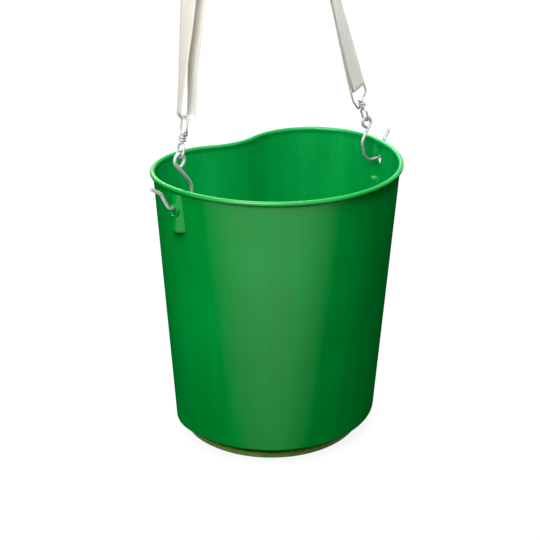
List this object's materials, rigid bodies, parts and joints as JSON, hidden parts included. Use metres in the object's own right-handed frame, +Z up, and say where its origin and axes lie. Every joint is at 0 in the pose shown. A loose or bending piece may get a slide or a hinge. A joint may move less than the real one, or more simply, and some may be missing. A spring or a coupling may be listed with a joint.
{
  "type": "picking bucket",
  "caption": "Kidney-shaped tapered enamelled steel picking bucket with a rolled rim, foot hoop, wire strap hooks, swivels and webbing straps that end in sewn eyes.",
  "frame": {"origin": "on the floor under the bucket, midway between its two shoulders and on the line through the shoulders' centres", "axes": "+Z up, -Y towards the round front, +Y towards the hollow back that fits the body, +X towards the right hook as seen from the front"},
  "size_m": [0.3578, 0.2485, 0.6459],
  "materials": {
    "green_enamel": "gloss",
    "rim_wire_steel": "satin",
    "pan_enamel": "gloss",
    "foot_enamel": "satin",
    "hook_zinc": "bright zinc plate",
    "swivel_zinc": "bright zinc plate",
    "ring_zinc": "bright zinc plate",
    "webbing": "woven cotton",
    "thread": "spun thread"
  },
  "bodies": {
    "bucket": {"bucket_wall": "green_enamel", "rim_wire": "rim_wire_steel", "bottom_pan": "pan_enamel", "foot_ring": "foot_enamel"},
    "hook_left": {"hook_left": "hook_zinc"},
    "swivel_left": {"swivel_eye_left": "swivel_zinc"},
    "ring_left": {"strap_ring_left": "ring_zinc"},
    "strap_left": {"strap_left": "webbing", "strap_stitching_left": "thread"},
    "hook_right": {"hook_right": "hook_zinc"},
    "swivel_right": {"swivel_eye_right": "swivel_zinc"},
    "ring_right": {"strap_ring_right": "ring_zinc"},
    "strap_right": {"strap_right": "webbing", "strap_stitching_right": "thread"}
  },
  "joints": [
    {"name": "hook_left_swing", "type": "hinge", "parent": "bucket", "child": "hook_left", "pos_m": [-0.15618, -0.02047, 0.32785], "axis": [0.988, 0.1422, -0.061], "range_deg": [-35, 35]},
    {"name": "swivel_left_lean", "type": "hinge", "parent": "hook_left", "child": "swivel_left", "pos_m": [-0.14172, -0.01398, 0.38248], "axis": [-0.1467, 0.9861, -0.0783], "range_deg": [-45, 45]},
    {"name": "ring_left_spin", "type": "hinge", "parent": "swivel_left", "child": "ring_left", "pos_m": [-0.13696, -0.01184, 0.40054], "axis": [0.2534, 0.114, 0.9606], "continuous": true},
    {"name": "strap_left_tilt", "type": "hinge", "parent": "ring_left", "child": "strap_left", "pos_m": [-0.13012, -0.00876, 0.42648], "axis": [0.3352, 0.9212, -0.1977], "range_deg": [-45, 45]},
    {"name": "hook_right_swing", "type": "hinge", "parent": "bucket", "child": "hook_right", "pos_m": [0.15618, -0.02047, 0.32785], "axis": [0.9716, -0.1398, 0.1908], "range_deg": [-35, 35]},
    {"name": "swivel_right_lean", "type": "hinge", "parent": "hook_right", "child": "swivel_right", "pos_m": [0.13576, -0.01337, 0.37713], "axis": [0.1568, 0.9846, -0.077], "range_deg": [-45, 45]},
    {"name": "ring_right_spin", "type": "hinge", "parent": "swivel_right", "child": "ring_right", "pos_m": [0.13054, -0.01113, 0.39505], "axis": [-0.2777, 0.1188, 0.9533], "continuous": true},
    {"name": "strap_right_tilt", "type": "hinge", "parent": "ring_right", "child": "strap_right", "pos_m": [0.12304, -0.00793, 0.42079], "axis": [0.9296, 0.2835, 0.2355], "range_deg": [-45, 45]}
  ]
}
